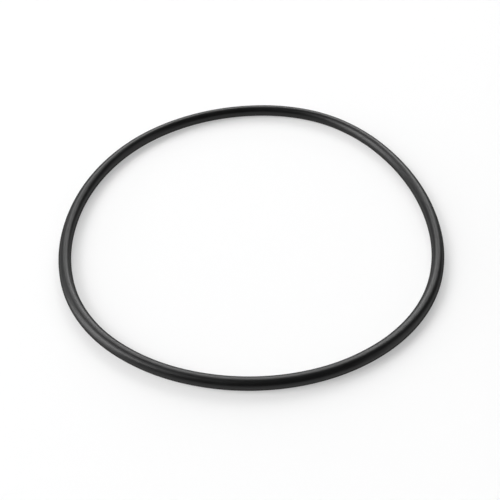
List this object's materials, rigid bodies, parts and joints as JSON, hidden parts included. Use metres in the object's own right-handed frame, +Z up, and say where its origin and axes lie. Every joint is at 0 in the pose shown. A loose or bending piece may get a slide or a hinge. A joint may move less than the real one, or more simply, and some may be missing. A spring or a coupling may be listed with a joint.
{
  "type": "rubber o-ring",
  "caption": "Round rubber seal ring of circular section, moulded in one piece, lying free and slightly out of round.",
  "frame": {"origin": "on the surface the ring rests on, below the middle of its extents", "axes": "+Z up through the ring's hole, across the section; +X and +Y in the ring's plane, with +Y away from the viewer of the picture"},
  "size_m": [0.11, 0.1114, 0.0035],
  "materials": {
    "rubber": "smooth satin black nitrile rubber with a very faint moulding line inside and outside"
  },
  "bodies": {
    "root": {"o_ring": "rubber"}
  },
  "joints": []
}
